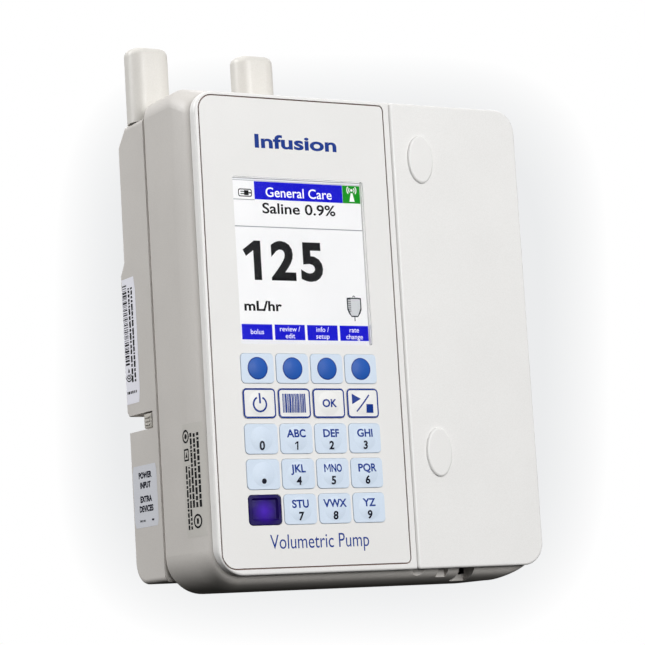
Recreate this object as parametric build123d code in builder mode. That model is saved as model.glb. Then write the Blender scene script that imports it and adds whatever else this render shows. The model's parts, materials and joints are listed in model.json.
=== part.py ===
"""Large-volume infusion pump with a keypad front, a side-hinged door and a clip-on battery module.

Every piece is drawn in panel coordinates, in millimetres: x from the left edge of the front,
y back from its face, and z up from its lower edge. at() turns them into the part's own frame,
whose origin is under the middle of the pump, with +Z up and the front facing -Y.
"""

import math
import os

from build123d import *

os.makedirs("parts", exist_ok=True)

# ---- driving dimensions ----
FRONT_W = 112.9
FRONT_H = 142.7
BEZEL_T = 2.9
SILL = 3.75
FACE_Y = -26.08

HOUSING_BULGE = 2.1
HOUSING_REAR = 31.3
CROWN_DEPTH = 9.5
TOP_RISE = 3.0
WALL = 2.0

DOOR_GAP = 0.45
DOOR_LEFT = 67.17
HINGE_INSET = 1.7
HINGE_X = DOOR_LEFT + HINGE_INSET
HINGE_Y = HINGE_INSET
HINGE_SWEEP_R = 2.45
PIN_R = 0.6
PIN_CLEARANCE = 0.05
EYE_R = 1.15
EYE_W = 5.0
NOTCH_W = 5.8
LIP = 0.5
LIP_DEPTH = 1.1
HINGE_Z = (26.0, 116.0)

WINDOW_X = (11.4, 56.0)
WINDOW_Z = (67.3, 117.4)
OVERLAY_X = (1.6, 64.5)
OVERLAY_Z = (2.1, 141.25)
OVERLAY_T = 0.5
OVERLAY_LEFT_R = 4.4
OVERLAY_RIGHT_R = 1.3
GROOVE = 0.42

KEY_COLUMNS = (16.15, 27.83, 39.51, 51.19)
KEY_ROWS = (60.2, 49.9, 39.45, 29.1, 18.75)
KEY_W = 10.9
KEY_H = 8.85
KEY_R = 1.3
KEY_CLEARANCE = 0.08
KEY_PROUD = 0.25
FLANGE_W = 11.3
FLANGE_H = 9.6

TUBE_X = 86.2
SHAFT_Y = 20.5
FINGERS = 6
FINGER_PITCH = 8.0
FINGER_Z = 52.0
FINGER_TIP_Y = 9.4
CAM_R = 3.4
CAM_OFFSET = 0.6
SHAFT_R = 2.0
BEARING_R = 5.0
RUNNING_FIT = 0.05

GEAR_MODULE = 0.4
GEAR_TEETH = 28
PINION_TEETH = 14
GEAR_Z = (111.0, 114.4)

MODULE_X = (-1.6, 50.0)
MODULE_FRONT = 31.6
ANTENNA_X = (4.9, 41.8)
ANTENNA_Y = 40.0
ANTENNA_TOP = 164.5


# ---- drawing helpers ----
def at(x, y, z):
    """The point of the part's frame that lies at these panel coordinates."""
    return (x - FRONT_W / 2, FACE_Y + y, SILL + z)


def outline(y, x, z, radius=0.0, low_left=None, low_right=None):
    """A rectangle over the spans x and z in the plane at depth y, with rounded corners.

    Its two lower corners may have radii of their own.
    """
    left, _, low = at(x[0], y, z[0])
    right, depth, high = at(x[1], y, z[1])
    with BuildSketch(Plane.XZ.offset(-depth)) as profile:
        with Locations(((left + right) / 2, (low + high) / 2)):
            Rectangle(right - left, high - low)
        if radius:
            fillet(profile.vertices().group_by(Axis.Y)[-1], radius)
            fillet(profile.vertices().sort_by_distance((left, low))[0], low_left or radius)
            fillet(profile.vertices().sort_by_distance((right, low))[0], low_right or radius)
    return profile.sketch


def slab(x, y, z, radius=0.0, mode=Mode.ADD, low_right=None):
    """A block over the spans x, y and z, its four edges along y rounded."""
    extrude(outline(y[0], x, z, radius, radius, low_right), amount=y[0] - y[1], mode=mode)


def post(x, y, z, radius, mode=Mode.ADD):
    """An upright cylinder on the axis x, y over the span z."""
    with Locations(at(x, y, (z[0] + z[1]) / 2)):
        Cylinder(radius, z[1] - z[0], mode=mode)


def peg(x, y, z, radius, mode=Mode.ADD):
    """A cylinder along y on the axis x, z over the span y."""
    with Locations(at(x, (y[0] + y[1]) / 2, z)):
        Cylinder(radius, y[1] - y[0], rotation=(90, 0, 0), mode=mode)


def dome(x, z, y, radius, height):
    """A shallow spherical swelling that stands proud of the plane at depth y."""
    centre, depth, level = at(x, y, z)
    sphere_r = (radius**2 + height**2) / (2 * height)
    half_way = math.sqrt(sphere_r**2 - (radius / 2) ** 2) - (sphere_r - height)
    with BuildSketch(Plane.XY.offset(level)) as half:
        with BuildLine():
            ThreePointArc(
                (centre, depth - height),
                (centre + radius / 2, depth - half_way),
                (centre + radius, depth),
            )
            Line((centre + radius, depth), (centre, depth))
            Line((centre, depth), (centre, depth - height))
        make_face()
    revolve(half.sketch, axis=Axis((centre, 0, level), (0, 1, 0)))


def save(piece, name):
    """Name a finished piece and write it to its own file."""
    piece.part.label = name
    export_step(piece.part, f"parts/{name}.step")


def key_places():
    """Each key's name with its column and row."""
    names = (
        ("soft_1", "soft_2", "soft_3", "soft_4"),
        ("power", "scan", "ok", "run_stop"),
        ("0", "1", "2", "3"),
        ("point", "4", "5", "6"),
        (None, "7", "8", "9"),
    )
    for row, line in enumerate(names):
        for column, name in enumerate(line):
            yield name, KEY_COLUMNS[column], KEY_ROWS[row]


def key_span(centre, size, spare=0.0):
    """The span of a key of this size about its centre, with spare all round."""
    return (centre - size / 2 - spare, centre + size / 2 + spare)


def cut_key_holes(y):
    """Cut the keys' and the scan window's holes through the span y."""
    for _, x, z in key_places():
        hole_x = key_span(x, KEY_W, KEY_CLEARANCE)
        hole_z = key_span(z, KEY_H, KEY_CLEARANCE)
        slab(hole_x, y, hole_z, KEY_R + KEY_CLEARANCE, mode=Mode.SUBTRACT)


# ---- front bezel: the fixed left part of the white front ----
BEZEL_RIGHT = DOOR_LEFT - DOOR_GAP
LOW_CORNER = 8.5
HIGH_CORNER = 6.5
RIM_R = 0.7
WINDOW_LEDGE = 0.25


def overlay_slab(y, grow, mode=Mode.ADD):
    """The overlay's outline, grown all round, over the span y: its left corners are rounder."""
    left, _, low = at(OVERLAY_X[0] - grow, 0, OVERLAY_Z[0] - grow)
    right, depth, high = at(OVERLAY_X[1] + grow, y[0], OVERLAY_Z[1] + grow)
    with BuildSketch(Plane.XZ.offset(-depth)) as profile:
        with Locations(((left + right) / 2, (low + high) / 2)):
            Rectangle(right - left, high - low)
        fillet(profile.vertices().group_by(Axis.X)[0], OVERLAY_LEFT_R + grow)
        fillet(profile.vertices().group_by(Axis.X)[-1], OVERLAY_RIGHT_R + grow)
    extrude(profile.sketch, amount=y[0] - y[1], mode=mode)


with BuildPart() as front_bezel:
    slab((0, BEZEL_RIGHT), (0, BEZEL_T), (0, FRONT_H))
    left_edges = edges().filter_by(Axis.Y).group_by(Axis.X)[0].sort_by(Axis.Z)
    fillet(left_edges[0], LOW_CORNER)
    fillet(edges().filter_by(Axis.Y).group_by(Axis.X)[0].sort_by(Axis.Z)[-1], HIGH_CORNER)
    front_rim = faces().sort_by(Axis.Y)[0].edges()
    outer_rim = [edge for edge in front_rim if edge.center().X < at(BEZEL_RIGHT, 0, 0)[0] - 0.1]
    fillet(outer_rim, RIM_R)
    overlay_slab((0, OVERLAY_T + 0.02), GROOVE, mode=Mode.SUBTRACT)
    # opening in front of the display, with a narrow ledge for the clear window
    glass_x = (WINDOW_X[0] + WINDOW_LEDGE, WINDOW_X[1] - WINDOW_LEDGE)
    glass_z = (WINDOW_Z[0] + WINDOW_LEDGE, WINDOW_Z[1] - WINDOW_LEDGE)
    slab(glass_x, (0, BEZEL_T), glass_z, mode=Mode.SUBTRACT)
    cut_key_holes((0, BEZEL_T))
save(front_bezel, "front_bezel")

# ---- printed overlay in the bezel's recess ----
with BuildPart() as keypad_overlay:
    overlay_slab((0.02, OVERLAY_T), 0.0)
    slab(WINDOW_X, (0, OVERLAY_T), WINDOW_Z, 0.8, mode=Mode.SUBTRACT)
    cut_key_holes((0, OVERLAY_T))
save(keypad_overlay, "keypad_overlay")

# ---- clear window flush in the overlay, and the display behind it ----
with BuildPart() as display_window:
    pane_x = (WINDOW_X[0] + 0.08, WINDOW_X[1] - 0.08)
    pane_z = (WINDOW_Z[0] + 0.08, WINDOW_Z[1] - 0.08)
    slab(pane_x, (0.08, OVERLAY_T), pane_z, 0.75)
save(display_window, "display_window")

with BuildPart() as display_panel:
    slab((8.5, 58.7), (3.2, 7.4), (66.8, 120.4), 0.8)
    slab((glass_x[0] + 0.1, glass_x[1] - 0.1), (1.3, 3.2), (glass_z[0] + 0.1, glass_z[1] - 0.1))
save(display_panel, "display_panel")

# ---- infra-red scan window: a bevelled lens with a sunken middle ----
with BuildPart() as scan_window:
    lens_x = key_span(KEY_COLUMNS[0], KEY_W)
    lens_z = key_span(KEY_ROWS[4], KEY_H)
    slab(lens_x, (-0.15, 4.0), lens_z, KEY_R)
    chamfer(faces().sort_by(Axis.Y)[0].edges(), 0.25)
    extrude(
        outline(-0.15, (lens_x[0] + 1.05, lens_x[1] - 1.05), (lens_z[0] + 1.35, lens_z[1] - 0.95), 0.7),
        amount=-0.75,
        taper=35,
        mode=Mode.SUBTRACT,
    )
save(scan_window, "scan_window")

# ---- keys, each with a retaining flange behind the bezel ----
SOFT_DOME = (3.35, 0.5)
KEY_DOME = (3.65, 0.35)
KEY_EDGE_R = 0.2
FLANGE_Y = (BEZEL_T + 0.1, BEZEL_T + 0.7)


def make_key(name, x, z):
    """One key cap: a rounded plate with a soft swelling, on a flange."""
    dome_r, dome_height = SOFT_DOME if name.startswith("soft") else KEY_DOME
    with BuildPart() as cap:
        slab(key_span(x, KEY_W), (-KEY_PROUD, FLANGE_Y[0]), key_span(z, KEY_H), KEY_R)
        fillet(faces().sort_by(Axis.Y)[0].edges(), KEY_EDGE_R)
        slab(key_span(x, FLANGE_W), FLANGE_Y, key_span(z, FLANGE_H), 0.8)
        dome(x, z, -KEY_PROUD, dome_r, dome_height)
    save(cap, f"key_{name}")


for key_name, key_x, key_z in key_places():
    if key_name:
        make_key(key_name, key_x, key_z)

# ---- silicone key mat with a dome under each key, on its circuit board ----
MAT_Y = (4.5, 5.2)
MAT_DOME_Y = 4.15

with BuildPart() as keypad_mat:
    slab((8.6, 58.8), MAT_Y, (12.6, 65.9), 1.5)
    for key_name, key_x, key_z in key_places():
        if key_name:
            with Locations(at(key_x, (MAT_DOME_Y + MAT_Y[0]) / 2, key_z)):
                Cone(2.6, 1.8, MAT_Y[0] - MAT_DOME_Y, rotation=(90, 0, 0))
    scan_x = key_span(KEY_COLUMNS[0], KEY_W, 0.4)
    scan_z = key_span(KEY_ROWS[4], KEY_H, 0.4)
    slab(scan_x, MAT_Y, scan_z, 1.0, mode=Mode.SUBTRACT)
save(keypad_mat, "keypad_mat")

with BuildPart() as keypad_board:
    slab((7.6, 59.8), (5.2, 6.8), (11.6, 66.4), 1.5)
    for x in (12.0, 33.7, 55.4):
        slab((x - 2.0, x + 2.0), (6.8, 8.0), (62.0, 64.4))
save(keypad_board, "keypad_board")

# ---- main housing: a crowned tub behind both parts of the front ----
SECOND_NOTCH_X = (TUBE_X - 10.2, TUBE_X - 6.7)
TUBE_NOTCH_X = (TUBE_X - 2.7, TUBE_X + 2.7)
TUBE_NOTCH_Y = (BEZEL_T, 9.6)
CAVITY_LOW_RIGHT = 12.0
CAVITY_STEP_Y = 9.0
CROWN_INSET = 0.25
CROWN_SECTIONS = (0.0, 0.08, 0.3, 0.62, 1.0)
CROWN_START_R = 7.4
HIGH_R = 5.8
LOW_LEFT_R = 11.4
LOW_RIGHT_R = 16.5
REAR_R = 2.6


def crown(share):
    """The housing's outline at this share of the crown's depth.

    It swells from just inside the bezel's outline to its full size: like an ellipse at the sides
    and the bottom, and evenly at the top.
    """
    swell = math.sqrt(1 - (1 - share) ** 2)
    side = (HOUSING_BULGE + CROWN_INSET) * swell - CROWN_INSET
    low = (SILL + CROWN_INSET) * swell - CROWN_INSET
    top = (TOP_RISE + CROWN_INSET) * share - CROWN_INSET
    high_r, low_left_r, low_right_r = (
        CROWN_START_R + (radius - CROWN_START_R) * swell
        for radius in (HIGH_R, LOW_LEFT_R, LOW_RIGHT_R)
    )
    x = (-side, FRONT_W + side)
    z = (-low, FRONT_H + top)
    return outline(BEZEL_T + CROWN_DEPTH * share, x, z, high_r, low_left_r, low_right_r)


with BuildPart() as main_housing:
    for share in CROWN_SECTIONS:
        add(crown(share).face())
    loft()
    extrude(crown(1.0), amount=BEZEL_T + CROWN_DEPTH - HOUSING_REAR)
    fillet(faces().sort_by(Axis.Y)[-1].edges(), REAR_R)
    front_room_y = (BEZEL_T, CAVITY_STEP_Y)
    front_room_x = (WALL, FRONT_W - WALL)
    slab(front_room_x, front_room_y, (WALL, FRONT_H - WALL), 5.5, mode=Mode.SUBTRACT)
    cavity_x = (0.2, FRONT_W - 0.2)
    cavity_y = (CAVITY_STEP_Y, HOUSING_REAR - WALL - 0.1)
    cavity_z = (-1.6, FRONT_H + 0.1)
    slab(cavity_x, cavity_y, cavity_z, 9.0, mode=Mode.SUBTRACT, low_right=CAVITY_LOW_RIGHT)
    slab(SECOND_NOTCH_X, (BEZEL_T, 5.2), (-SILL, 1.0), mode=Mode.SUBTRACT)
    for wall_z in ((-SILL, 3.0), (140.0, 146.0)):
        slab(TUBE_NOTCH_X, TUBE_NOTCH_Y, wall_z, mode=Mode.SUBTRACT)
    # room for the door's hinge edge to swing past the bottom and top walls
    for wall_z in ((-SILL, 2.2), (FRONT_H - 2.2, FRONT_H + TOP_RISE)):
        post(HINGE_X, HINGE_Y, wall_z, HINGE_SWEEP_R, mode=Mode.SUBTRACT)
save(main_housing, "main_housing")

# ---- main board behind the keypad ----
with BuildPart() as main_board:
    slab((5.0, 64.0), (14.0, 15.6), (8.0, 135.0), 2.0)
    slab((20.0, 34.0), (15.6, 17.2), (84.0, 98.0))
    slab((40.0, 50.0), (15.6, 17.0), (60.0, 72.0))
    slab((14.0, 54.0), (15.6, 20.0), (14.0, 19.0))
    slab((12.0, 18.0), (15.6, 21.0), (110.0, 126.0))
save(main_board, "main_board")

# ---- mechanism chassis: front plate, guide block and bearing shelves ----
PLATE_Y = (10.4, 12.2)
SHELF_LOW = (37.0, 43.0)
SHELF_HIGH = (103.4, 109.4)
MOTOR_SHELF = (115.6, 117.6)
GUIDE_Z = (FINGER_Z - FINGER_PITCH / 2 - 0.6, FINGER_Z + FINGER_PITCH * (FINGERS - 0.5) + 0.6)
CENTRE_DISTANCE = GEAR_MODULE * (GEAR_TEETH + PINION_TEETH) / 2
PINION_X = TUBE_X - CENTRE_DISTANCE
FINGER_W = 8.0
FINGER_H = FINGER_PITCH - 0.7
SLIDE_CLEARANCE = 0.1
CLIP_Z = (20.0, 124.0)
CLIP_X = 106.0
# pillars that carry the chassis on the housing's back wall
PILLARS = ((73.0, 8.0), (107.0, 8.0), (73.0, 98.0), (107.0, 134.0))

with BuildPart() as mechanism_chassis:
    slab((69.4, 111.0), PLATE_Y, (2.4, 140.6), 3.0)
    slab((TUBE_X - 6.0, TUBE_X + 6.0), (PLATE_Y[1], 14.6), GUIDE_Z)
    for shelf in (SHELF_LOW, SHELF_HIGH):
        slab((TUBE_X - 8.5, TUBE_X + 8.5), (PLATE_Y[1], 27.4), shelf, 0.0)
        post(TUBE_X, SHAFT_Y, shelf, BEARING_R, mode=Mode.SUBTRACT)
    slab((TUBE_X - 15.0, TUBE_X + 8.5), (PLATE_Y[1], 28.2), MOTOR_SHELF)
    post(PINION_X, SHAFT_Y, MOTOR_SHELF, 1.6, mode=Mode.SUBTRACT)
    for index in range(FINGERS):
        level = FINGER_Z + FINGER_PITCH * index
        slot_x = key_span(TUBE_X, FINGER_W, SLIDE_CLEARANCE)
        slot_z = key_span(level, FINGER_H, SLIDE_CLEARANCE)
        slab(slot_x, (PLATE_Y[0], 14.6), slot_z, mode=Mode.SUBTRACT)
    # side rails that guide the tube to the fingers
    for rail_z in ((4.0, 26.0), (120.0, 139.0)):
        for side in (-1, 1):
            rail = sorted((TUBE_X + side * 2.7, TUBE_X + side * 4.2))
            slab(rail, (8.4, PLATE_Y[0]), rail_z)
    for level in CLIP_Z:
        peg(CLIP_X, PLATE_Y, level, 2.6, mode=Mode.SUBTRACT)
    for pillar_x, pillar_z in PILLARS:
        peg(pillar_x, (PLATE_Y[1], 29.2), pillar_z, 2.2)
save(mechanism_chassis, "mechanism_chassis")

# ---- spring clips for the door's latch studs ----
with BuildPart() as latch_clips:
    for level in CLIP_Z:
        peg(CLIP_X, (PLATE_Y[1], 13.0), level, 4.4)
        peg(CLIP_X, (13.0, 15.4), level, 3.6)
        peg(CLIP_X, (PLATE_Y[1], 14.6), level, 2.3, mode=Mode.SUBTRACT)
save(latch_clips, "latch_clips")

# ---- pump fingers: flat pushers over the cams ----
for index in range(FINGERS):
    with BuildPart() as finger:
        level = FINGER_Z + FINGER_PITCH * index
        finger_z = key_span(level, FINGER_H)
        finger_y = (FINGER_TIP_Y, SHAFT_Y - CAM_R - CAM_OFFSET - 0.2)
        slab(key_span(TUBE_X, FINGER_W), finger_y, finger_z)
        tip = faces().sort_by(Axis.Y)[0].edges().filter_by(Axis.Z)
        fillet(tip, 1.2)
    save(finger, f"pump_finger_{index + 1}")

# ---- camshaft: one eccentric disc for each finger, evenly phased ----
with BuildPart() as camshaft:
    post(TUBE_X, SHAFT_Y, (36.0, GEAR_Z[1] + 0.6), SHAFT_R)
    post(TUBE_X, SHAFT_Y, (44.0, FINGER_Z - 4.2), SHAFT_R + 0.8)
    for index in range(FINGERS):
        level = FINGER_Z + FINGER_PITCH * index
        phase = 2 * math.pi * index / FINGERS
        cam_x = TUBE_X + CAM_OFFSET * math.cos(phase)
        cam_y = SHAFT_Y + CAM_OFFSET * math.sin(phase)
        post(cam_x, cam_y, (level - 3.2, level + 3.2), CAM_R)
save(camshaft, "camshaft")

with BuildPart() as camshaft_bearings:
    for shelf in (SHELF_LOW, SHELF_HIGH):
        middle = (shelf[0] + shelf[1]) / 2
        post(TUBE_X, SHAFT_Y, (middle - 2.0, middle + 2.0), BEARING_R)
        post(TUBE_X, SHAFT_Y, (middle - 2.0, middle + 2.0), SHAFT_R + RUNNING_FIT, mode=Mode.SUBTRACT)
save(camshaft_bearings, "camshaft_bearings")

# ---- gear pair ----
PRESSURE_ANGLE = math.radians(20)
BACKLASH = 0.012


def involute(angle):
    """The involute function of a pressure angle."""
    return math.tan(angle) - angle


def gear_outline(x, y, z, teeth, turn):
    """A spur gear's outline about the upright axis x, y, with a tooth at the angle turn."""
    pitch_r = GEAR_MODULE * teeth / 2
    base_r = pitch_r * math.cos(PRESSURE_ANGLE)
    root_r = pitch_r - 1.2 * GEAR_MODULE
    tip_r = pitch_r + 0.92 * GEAR_MODULE
    half_pitch = math.pi / (2 * teeth) - BACKLASH
    flank = []
    for step in range(5):
        radius = root_r + (tip_r - root_r) * step / 4
        pressure = math.acos(min(1.0, base_r / radius))
        flank.append((radius, half_pitch + involute(PRESSURE_ANGLE) - involute(pressure)))
    points = []
    for tooth in range(teeth):
        middle = turn + 2 * math.pi * tooth / teeth
        points += [(radius, middle - half) for radius, half in flank]
        points += [(radius, middle + half) for radius, half in reversed(flank)]
    centre_x, centre_y, level = at(x, y, z)
    with BuildSketch(Plane.XY.offset(level)) as profile:
        with BuildLine():
            Polyline(
                [(centre_x + r * math.cos(a), centre_y + r * math.sin(a)) for r, a in points],
                close=True,
            )
        make_face()
    return profile.sketch


with BuildPart() as cam_gear:
    extrude(gear_outline(TUBE_X, SHAFT_Y, GEAR_Z[0], GEAR_TEETH, 0.0), amount=GEAR_Z[1] - GEAR_Z[0])
    post(TUBE_X, SHAFT_Y, (GEAR_Z[0] - 1.2, GEAR_Z[0]), 3.4)
    post(TUBE_X, SHAFT_Y, (GEAR_Z[0] - 1.2, GEAR_Z[1]), SHAFT_R, mode=Mode.SUBTRACT)
save(cam_gear, "cam_gear")

with BuildPart() as motor_pinion:
    half_tooth = math.pi / PINION_TEETH
    extrude(
        gear_outline(PINION_X, SHAFT_Y, GEAR_Z[0], PINION_TEETH, half_tooth),
        amount=GEAR_Z[1] - GEAR_Z[0],
    )
    post(PINION_X, SHAFT_Y, (GEAR_Z[1], 119.6), 1.0)
save(motor_pinion, "motor_pinion")

MOTOR_Z = (MOTOR_SHELF[1], 137.0)
MOTOR_R = 7.0

with BuildPart() as drive_motor:
    post(PINION_X, SHAFT_Y, MOTOR_Z, MOTOR_R)
    fillet(edges().filter_by(GeomType.CIRCLE).group_by(Axis.Z)[-1], 0.8)
    post(PINION_X, SHAFT_Y, (MOTOR_Z[1], MOTOR_Z[1] + 1.4), 2.6)
    post(PINION_X, SHAFT_Y, (MOTOR_Z[0], MOTOR_Z[0] + 2.4), 1.0 + RUNNING_FIT, mode=Mode.SUBTRACT)
save(drive_motor, "drive_motor")

# ---- sensors on the chassis ----
with BuildPart() as occlusion_sensors:
    for level in (31.5, 114.5):
        slab((TUBE_X - 3.0, TUBE_X + 3.0), (9.0, PLATE_Y[0]), (level - 2.6, level + 2.6), 1.0)
save(occlusion_sensors, "occlusion_sensors")

with BuildPart() as air_sensor:
    slab((TUBE_X - 5.6, TUBE_X + 5.6), (8.0, PLATE_Y[0]), (35.4, 45.6), 1.0)
    slab((TUBE_X - 2.9, TUBE_X + 2.9), (8.0, PLATE_Y[0]), (35.4, 45.6), mode=Mode.SUBTRACT)
save(air_sensor, "air_sensor")

# ---- hinge: an eye on each bracket, and a pin through it in the door ----
NECK_X = (HINGE_X + 0.1, HINGE_X + 1.3)

with BuildPart() as hinge_brackets:
    for level in HINGE_Z:
        eye_z = key_span(level, EYE_W)
        post(HINGE_X, HINGE_Y, eye_z, EYE_R)
        slab(NECK_X, (HINGE_Y, 7.0), eye_z)
        slab((HINGE_X - 0.9, HINGE_X + 1.3), (7.0, PLATE_Y[0] - 1.6), key_span(level, 9.0))
        slab((HINGE_X + 0.6, HINGE_X + 6.0), (PLATE_Y[0] - 1.6, PLATE_Y[0]), key_span(level, 9.0))
        post(HINGE_X, HINGE_Y, eye_z, PIN_R + PIN_CLEARANCE, mode=Mode.SUBTRACT)
save(hinge_brackets, "hinge_brackets")

PIN_LENGTH = 11.0

with BuildPart() as hinge_pins:
    for level in HINGE_Z:
        post(HINGE_X, HINGE_Y, key_span(level, PIN_LENGTH), PIN_R)
save(hinge_pins, "hinge_pins")

# ---- door ----
DOOR_CORNER = 7.0
POCKET_X = (DOOR_LEFT + 6.0, FRONT_W - 3.0)
POCKET_Y = (1.6, BEZEL_T)
BUMP_X = 77.1
BUMP_Z = (35.0, 125.3)
BUMP_W = 9.1
BUMP_H = 15.0
BUMP_T = 0.75
GRIP_PITCH = 4.1
GRIP_Z = (34.0, 122.0)

with BuildPart() as door_shell:
    slab((DOOR_LEFT, FRONT_W), (0, BEZEL_T), (0, FRONT_H))
    fillet(edges().filter_by(Axis.Y).group_by(Axis.X)[-1], DOOR_CORNER)
    rim = faces().sort_by(Axis.Y)[0].edges()
    hinge_side = rim.sort_by(Axis.X)[0]
    fillet([edge for edge in rim if edge != hinge_side], RIM_R)
    slab_left = edges().filter_by(Axis.Z).group_by(Axis.X)[0].sort_by(Axis.Y)[0]
    fillet(slab_left, 0.95)
    slab(POCKET_X, POCKET_Y, (4.5, FRONT_H - 4.5), 2.0, mode=Mode.SUBTRACT)
    # a pocket round each hinge eye, and the pin's bore in the walls beside it
    for level in HINGE_Z:
        eye_room_z = key_span(level, NOTCH_W)
        slab((DOOR_LEFT + LIP, HINGE_X + 3.6), (0.35, BEZEL_T), eye_room_z, mode=Mode.SUBTRACT)
        slab((DOOR_LEFT - 1, HINGE_X), (LIP_DEPTH, BEZEL_T), eye_room_z, mode=Mode.SUBTRACT)
        post(HINGE_X, HINGE_Y, key_span(level, PIN_LENGTH), PIN_R, mode=Mode.SUBTRACT)
    # finger scallops along the free edge
    count = int((GRIP_Z[1] - GRIP_Z[0]) / GRIP_PITCH)
    for index in range(count + 1):
        peg(FRONT_W + 2.35, (0, BEZEL_T), GRIP_Z[0] + GRIP_PITCH * index, 2.7, mode=Mode.SUBTRACT)
    for level in BUMP_Z:
        centre_x, depth, centre_z = at(BUMP_X, 0.2, level)
        with BuildSketch(Plane.XZ.offset(-depth)):
            with Locations((centre_x, centre_z)):
                Ellipse(BUMP_W / 2, BUMP_H / 2)
        extrude(amount=BUMP_T + 0.2)
        front_edge = faces().sort_by(Axis.Y)[0].edges()
        fillet(front_edge, 0.7)
save(door_shell, "door_shell")

# ---- door liner, platen and its springs ----
LINER_Y = (POCKET_Y[0], 4.6)
PLATEN_Y = (6.0, 7.3)
PLATEN_Z = (FINGER_Z - FINGER_PITCH / 2 - 2.0, FINGER_Z + FINGER_PITCH * (FINGERS - 0.5) + 2.0)
SPRING_Z = (54.0, 72.0, 90.0)

with BuildPart() as door_liner:
    liner_x = (POCKET_X[0] + 0.05, POCKET_X[1] - 0.05)
    slab(liner_x, LINER_Y, (4.6, FRONT_H - 4.6), 1.9)
    # a raised frame that locates the platen
    frame_y = (LINER_Y[1], 6.6)
    frame_z = (PLATEN_Z[0] - 1.4, PLATEN_Z[1] + 1.4)
    seat_z = (PLATEN_Z[0] - 0.2, PLATEN_Z[1] + 0.2)
    slab((TUBE_X - 7.6, TUBE_X + 7.6), frame_y, frame_z, 1.0)
    slab((TUBE_X - 6.3, TUBE_X + 6.3), frame_y, seat_z, mode=Mode.SUBTRACT)
save(door_liner, "door_liner")

with BuildPart() as platen:
    slab((TUBE_X - 6.1, TUBE_X + 6.1), PLATEN_Y, PLATEN_Z, 0.8)
    chamfer(faces().sort_by(Axis.Y)[-1].edges(), 0.3)
save(platen, "platen")

with BuildPart() as platen_springs:
    for level in SPRING_Z:
        centre_x, depth, centre_z = at(TUBE_X, LINER_Y[1], level)
        gap = PLATEN_Y[0] - LINER_Y[1]
        with BuildSketch(Plane.XY.offset(centre_z)) as washer:
            with BuildLine():
                Polyline(
                    (centre_x + 4.6, depth),
                    (centre_x + 4.9, depth),
                    (centre_x + 2.5, depth + gap),
                    (centre_x + 2.2, depth + gap),
                    close=True,
                )
            make_face()
        revolve(washer.sketch, axis=Axis((centre_x, 0, centre_z), (0, 1, 0)))
save(platen_springs, "platen_springs")

# ---- latch studs on the door, ball-ended ----
with BuildPart() as latch_studs:
    for level in CLIP_Z:
        peg(CLIP_X, (LINER_Y[1], 12.4), level, 1.1)
        with Locations(at(CLIP_X, 12.8, level)):
            Sphere(1.5)
        peg(CLIP_X, (LINER_Y[1], 5.6), level, 2.4)
save(latch_studs, "latch_studs")

# ---- rear mounting plate for a pole clamp ----
PLATE_X = (56.0, 104.0)
PLATE_Z = (36.0, 112.0)
BOLT_SPACING_X = 32.0
BOLT_SPACING_Z = 60.0
BOLT_R = 2.5
PLATE_BACK = HOUSING_REAR + 5.0
SCREW_SPACING_Z = 40.0

with BuildPart() as mounting_plate:
    slab(PLATE_X, (HOUSING_REAR, PLATE_BACK), PLATE_Z, 5.0)
    fillet(faces().sort_by(Axis.Y)[-1].edges(), 0.8)
    middle_x = sum(PLATE_X) / 2
    middle_z = sum(PLATE_Z) / 2
    for side in (-1, 1):
        for end in (-1, 1):
            bolt_x = middle_x + side * BOLT_SPACING_X / 2
            bolt_z = middle_z + end * BOLT_SPACING_Z / 2
            peg(bolt_x, (HOUSING_REAR, PLATE_BACK), bolt_z, BOLT_R, mode=Mode.SUBTRACT)
        screw_z = middle_z + side * SCREW_SPACING_Z / 2
        peg(middle_x, (HOUSING_REAR, PLATE_BACK), screw_z, 2.2, mode=Mode.SUBTRACT)
        peg(middle_x, (PLATE_BACK - 2.4, PLATE_BACK), screw_z, 4.1, mode=Mode.SUBTRACT)
save(mounting_plate, "mounting_plate")

with BuildPart() as plate_screws:
    for side in (-1, 1):
        screw_z = middle_z + side * SCREW_SPACING_Z / 2
        peg(middle_x, (PLATE_BACK - 2.4, PLATE_BACK - 0.2), screw_z, 3.9)
        peg(middle_x, (HOUSING_REAR, PLATE_BACK - 2.4), screw_z, 2.0)
        head_x, head_y, head_z = at(middle_x, PLATE_BACK - 0.2, screw_z)
        with BuildSketch(Plane.XZ.offset(-head_y)):
            with Locations((head_x, head_z)):
                RegularPolygon(2.0, 6)
        extrude(amount=1.6, mode=Mode.SUBTRACT)
save(plate_screws, "plate_screws")

# ---- battery and radio module ----
SHOULDER_Z = 141.0
STEP_Z = 99.3
BULGE_Z = (51.9, 95.7)
NOTCH_Z = (46.7, 51.9)
NOTCH_Y = 42.0
NOTCH_DEPTH = 9.0
UPPER_Y = 50.1
BULGE_Y = 52.9
LOWER_Y = 51.9
MODULE_BOTTOM = 0.4
LATCH_Z = (47.0, 51.6)
LATCH_Y = (36.2, 41.4)
CELLS_Z = ((60.0, 104.0), (5.0, 40.0))
ROOM_Y = 46.4
JACK_X = 26.0
JACK_Z = 14.0
JACK_R = 4.4

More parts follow.
